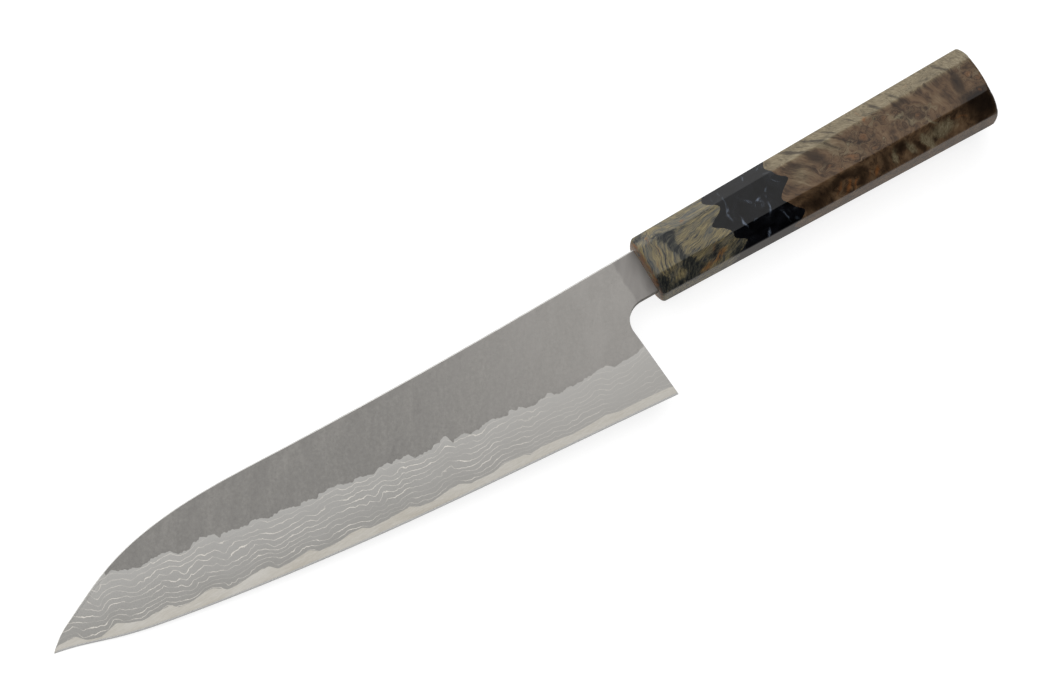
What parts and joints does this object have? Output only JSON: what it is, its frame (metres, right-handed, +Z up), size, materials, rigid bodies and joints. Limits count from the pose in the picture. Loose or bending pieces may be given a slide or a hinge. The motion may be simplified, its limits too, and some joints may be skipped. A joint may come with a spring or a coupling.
{
  "type": "chef knife",
  "caption": "Japanese-style chef knife: three-layer forged blade with layered-steel bevels and bare cutting edge, on an octagonal burl and resin handle.",
  "frame": {"origin": "centre of the knife's footprint on the ground it lies on", "axes": "+X along the handle towards the butt, with the tip at -X; +Y towards the spine; +Z up, out of the left side of the blade. The knife lies on its right side, so its own axis leans 2.5 degrees, tip down."},
  "size_m": [0.343, 0.052, 0.0272],
  "materials": {
    "core_steel": "bare ground steel, satin",
    "layered_cladding": "etched layered steel, as-forged grey skin above the bevel",
    "front_burl": "polished stabilised burl",
    "dark_resin": "polished pearl resin",
    "rear_burl": "polished stabilised burl",
    "dowel_wood": "raw wood",
    "epoxy": "cured glue"
  },
  "bodies": {
    "root": {"core_steel": "core_steel", "cladding_left": "layered_cladding", "cladding_right": "layered_cladding", "front_burl_block": "front_burl", "resin_casting": "dark_resin", "rear_burl_block": "rear_burl", "tang_dowel": "dowel_wood", "epoxy_bed": "epoxy"}
  },
  "joints": []
}
